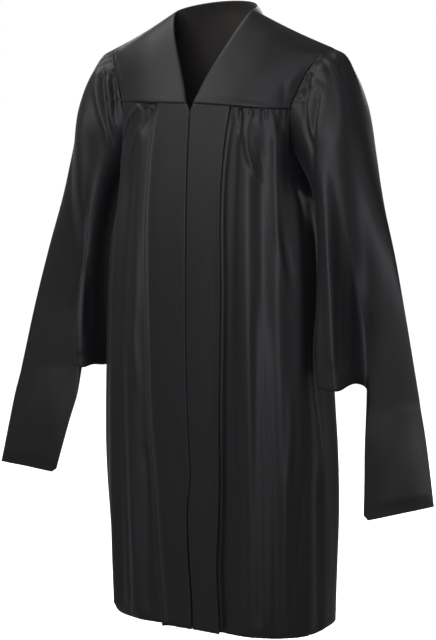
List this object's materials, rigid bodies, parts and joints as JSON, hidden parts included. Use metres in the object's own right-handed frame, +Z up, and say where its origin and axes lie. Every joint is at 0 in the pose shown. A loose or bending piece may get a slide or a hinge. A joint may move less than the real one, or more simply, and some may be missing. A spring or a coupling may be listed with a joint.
{
  "type": "graduation gown",
  "caption": "Black closed-front graduation gown, hollow as worn, with a fitted yoke, pressed front pleats and long square-tailed sleeves.",
  "frame": {"origin": "midway between the wearer's shoulders, inside the yoke, 1.255 m above the hem", "axes": "+X to the wearer's left, -Y to the front, +Z up"},
  "size_m": [1.052, 0.3087, 1.319],
  "materials": {
    "gown_cloth": "fine black polyester weave with a soft satin sheen",
    "yoke_lining": "matt brownish black lining weave",
    "zip_tape": "matt black woven tape",
    "zip_coil": "satin black nylon",
    "zip_slider_paint": "satin black paint"
  },
  "bodies": {
    "root": {"yoke_front_left": "gown_cloth", "yoke_front_right": "gown_cloth", "yoke_back": "gown_cloth", "yoke_back_lining": "yoke_lining", "front_left": "gown_cloth", "front_right": "gown_cloth", "back": "gown_cloth", "sleeve_left": "gown_cloth", "sleeve_right": "gown_cloth", "zip_tape_left": "zip_tape", "zip_tape_right": "zip_tape", "zip_chain": "zip_coil", "zip_slider": "zip_slider_paint"}
  },
  "joints": []
}
